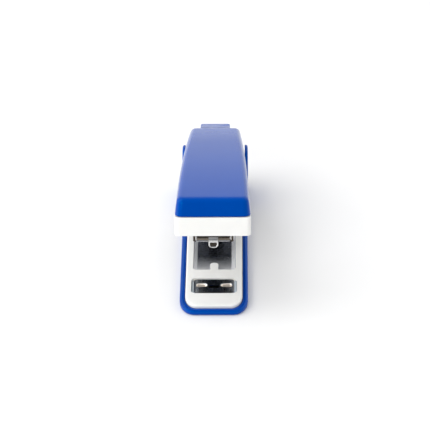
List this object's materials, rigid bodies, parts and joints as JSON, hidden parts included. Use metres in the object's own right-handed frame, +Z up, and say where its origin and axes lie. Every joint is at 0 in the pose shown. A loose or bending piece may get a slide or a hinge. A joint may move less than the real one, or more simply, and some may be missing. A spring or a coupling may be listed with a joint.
{
  "type": "stapler",
  "caption": "Small plastic office stapler with sprung magazine and press handle on one rear pivot, a raised base insert, anvil and full staple strip.",
  "frame": {"origin": "centre of the whole stapler's bounding box in plan, at the level of the rubber pads' soles", "axes": "+Z up, -Y towards the nose of the stapler, +X to the right as seen from in front"},
  "size_m": [0.0242, 0.0866, 0.0411],
  "materials": {
    "blue_plastic": "moulded, satin gloss",
    "white_plastic": "moulded, fine satin",
    "bright_steel": "bright nickel-plated sheet",
    "zinc_steel": "zinc-plated sheet",
    "spring_steel": "tempered spring steel",
    "dark_plastic": "moulded, matte",
    "rubber": "soft rubber"
  },
  "bodies": {
    "base": {"base_sole": "blue_plastic", "base_insert": "white_plastic", "base_plate": "bright_steel", "anvil": "bright_steel", "front_pad": "rubber", "rear_pad": "rubber", "lift_spring": "spring_steel", "lift_spring_rivet": "zinc_steel", "pivot_pin": "zinc_steel", "pin_clip": "spring_steel"},
    "magazine": {"magazine_channel": "zinc_steel", "front_plate": "zinc_steel", "staple_rail": "bright_steel", "staple_strip": "bright_steel", "magazine_rear_block": "dark_plastic", "guide_rod": "bright_steel", "pusher_spring": "spring_steel"},
    "pusher": {"pusher": "dark_plastic"},
    "handle": {"handle_cover": "blue_plastic", "handle_skirt": "white_plastic", "handle_frame": "zinc_steel", "driver_blade": "spring_steel", "driver_rivet": "zinc_steel", "driver_spring": "spring_steel"}
  },
  "joints": [
    {"name": "magazine_pivot", "type": "hinge", "parent": "base", "child": "magazine", "pos_m": [0, 0.02999, 0.0149], "axis": [1, 0, 0], "range_deg": [0, 16.2], "stiffness_Nm_per_rad": 0.25, "springref_deg": -6.88, "deforming": ["lift_spring"]},
    {"name": "handle_pivot", "type": "hinge", "parent": "magazine", "child": "handle", "pos_m": [0, 0.02999, 0.0149], "axis": [1, 0, 0], "range_deg": [-70, 4.7], "stiffness_Nm_per_rad": 0.8, "deforming": ["driver_spring"]},
    {"name": "pusher_slide", "type": "slide", "parent": "magazine", "child": "pusher", "axis": [0, 0.9823, -0.1874], "range_m": [0, 0.01], "stiffness_N_per_m": 30, "springref_m": -0.02, "deforming": ["pusher_spring"]}
  ]
}
